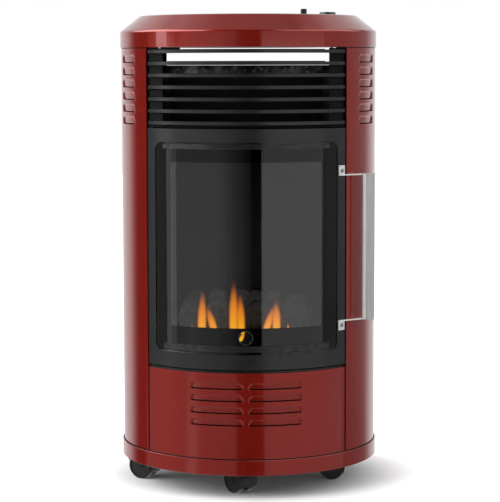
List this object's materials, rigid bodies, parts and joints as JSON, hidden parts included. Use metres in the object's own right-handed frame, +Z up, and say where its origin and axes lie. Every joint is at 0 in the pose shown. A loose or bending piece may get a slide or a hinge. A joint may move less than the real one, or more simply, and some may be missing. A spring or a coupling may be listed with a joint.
{
  "type": "portable gas heater",
  "caption": "Round floor-standing propane cabinet heater on casters: glazed flame door with bar handle, slatted outlet, louvred panels, sloped cap with knob and igniter",
  "frame": {"origin": "on the floor, under the middle of the round cabinet (bottom centre of the bounding box)", "axes": "+Z up, front faces -Y, +X to the right of someone facing the front"},
  "size_m": [0.442, 0.442, 0.806],
  "materials": {
    "red_enamel": "gloss red enamel on steel sheet",
    "black_paint": "satin black heat-proof paint",
    "plain_steel": "plain galvanised steel",
    "handle_steel": "brushed stainless steel",
    "door_glass": "clear glass ceramic with a black printed border",
    "ceramic": "rough ceramic fibre coals",
    "brass": "turned brass",
    "aluminium": "cast aluminium",
    "black_plastic": "black nylon",
    "wheel_plastic": "black nylon wheel",
    "seal": "woven glass-fibre rope",
    "lead": "silicone sheath"
  },
  "bodies": {
    "cabinet": {"base_ring": "red_enamel", "floor_plate": "black_paint", "panel_rim": "black_paint", "corner_posts": "black_paint", "lower_rail": "black_paint", "right_side_panel": "red_enamel", "left_side_panel": "red_enamel", "lower_front_panel": "red_enamel", "top_cap": "red_enamel", "control_panel": "black_paint", "grille_frame": "black_paint", "grille_slats": "black_paint", "firebox_shell": "black_paint", "firebox_back_panel": "black_paint", "heat_deflector": "black_paint", "heat_shield": "plain_steel", "firebox_brackets": "plain_steel", "burner": "plain_steel", "injector": "brass", "coal_grate": "black_paint", "coal_bed": "ceramic", "pilot_bracket": "plain_steel", "pilot_burner": "brass", "thermocouple": "brass", "spark_electrode": "plain_steel", "gas_brackets": "plain_steel", "gas_valve": "aluminium", "igniter_body": "black_plastic", "ignition_lead": "lead", "burner_pipe": "plain_steel", "pilot_pipe": "plain_steel", "inlet_pipe": "plain_steel", "gas_inlet": "brass", "hinge_pins": "plain_steel", "door_magnets": "plain_steel", "caster_sockets": "plain_steel", "panel_screws": "plain_steel"},
    "front_door": {"door_frame": "black_paint", "door_glass": "door_glass", "glass_clamps": "black_paint", "door_seal": "seal", "door_bushes": "brass", "door_handle": "handle_steel", "handle_screws": "plain_steel"},
    "back_door": {"rear_door": "black_paint", "rear_pull": "black_paint"},
    "plug": {"valve_plug": "brass", "knob_spring": "plain_steel"},
    "knob": {"control_knob": "black_plastic"},
    "button": {"ignition_button": "black_plastic"},
    "caster_1": {"caster_1_hood": "black_plastic"},
    "wheels_1": {"caster_1_wheels": "wheel_plastic"},
    "caster_2": {"caster_2_hood": "black_plastic"},
    "wheels_2": {"caster_2_wheels": "wheel_plastic"},
    "caster_3": {"caster_3_hood": "black_plastic"},
    "wheels_3": {"caster_3_wheels": "wheel_plastic"},
    "caster_4": {"caster_4_hood": "black_plastic"},
    "wheels_4": {"caster_4_wheels": "wheel_plastic"},
    "caster_5": {"caster_5_hood": "black_plastic"},
    "wheels_5": {"caster_5_wheels": "wheel_plastic"}
  },
  "joints": [
    {"name": "front_door_hinge", "type": "hinge", "parent": "cabinet", "child": "front_door", "pos_m": [-0.1553, -0.14431, 0.4], "axis": [0, 0, -1], "range_deg": [0, 90]},
    {"name": "rear_door_hinge", "type": "hinge", "parent": "cabinet", "child": "back_door", "pos_m": [-0.15429, 0.14539, 0.4], "axis": [0, 0, 1], "range_deg": [0, 90]},
    {"name": "knob_turn", "type": "hinge", "parent": "cabinet", "child": "plug", "pos_m": [0.13501, -0.075, 0.79], "axis": [0, 0, 1], "range_deg": [0, 180]},
    {"name": "knob_push", "type": "slide", "parent": "plug", "child": "knob", "axis": [0, 0, -1], "range_m": [0, 0.003], "stiffness_N_per_m": 600, "deforming": ["knob_spring"]},
    {"name": "ignition_push", "type": "slide", "parent": "cabinet", "child": "button", "axis": [0, 0, -1], "range_m": [0, 0.006], "stiffness_N_per_m": 600},
    {"name": "caster_1_swivel", "type": "hinge", "parent": "cabinet", "child": "caster_1", "pos_m": [0, -0.172, 0.05], "axis": [0, 0, 1], "continuous": true},
    {"name": "caster_1_roll", "type": "hinge", "parent": "caster_1", "child": "wheels_1", "pos_m": [-0.01157, -0.15821, 0.0225], "axis": [-0.766, -0.6428, 0], "continuous": true},
    {"name": "caster_2_swivel", "type": "hinge", "parent": "cabinet", "child": "caster_2", "pos_m": [0.16358, -0.05315, 0.05], "axis": [0, 0, 1], "continuous": true},
    {"name": "caster_2_roll", "type": "hinge", "parent": "caster_2", "child": "wheels_2", "pos_m": [0.14597, -0.04941, 0.0225], "axis": [-0.2079, -0.9781, 0], "continuous": true},
    {"name": "caster_3_swivel", "type": "hinge", "parent": "cabinet", "child": "caster_3", "pos_m": [0.1011, 0.13915, 0.05], "axis": [0, 0, 1], "continuous": true},
    {"name": "caster_3_roll", "type": "hinge", "parent": "caster_3", "child": "wheels_3", "pos_m": [0.08418, 0.133, 0.0225], "axis": [0.342, -0.9397, 0], "continuous": true},
    {"name": "caster_4_swivel", "type": "hinge", "parent": "cabinet", "child": "caster_4", "pos_m": [-0.1011, 0.13915, 0.05], "axis": [0, 0, 1], "continuous": true},
    {"name": "caster_4_roll", "type": "hinge", "parent": "caster_4", "child": "wheels_4", "pos_m": [-0.11584, 0.12883, 0.0225], "axis": [0.5736, -0.8192, 0], "continuous": true},
    {"name": "caster_5_swivel", "type": "hinge", "parent": "cabinet", "child": "caster_5", "pos_m": [-0.16358, -0.05315, 0.05], "axis": [0, 0, 1], "continuous": true},
    {"name": "caster_5_roll", "type": "hinge", "parent": "caster_5", "child": "wheels_5", "pos_m": [-0.17947, -0.0447, 0.0225], "axis": [-0.4695, -0.8829, 0], "continuous": true}
  ]
}
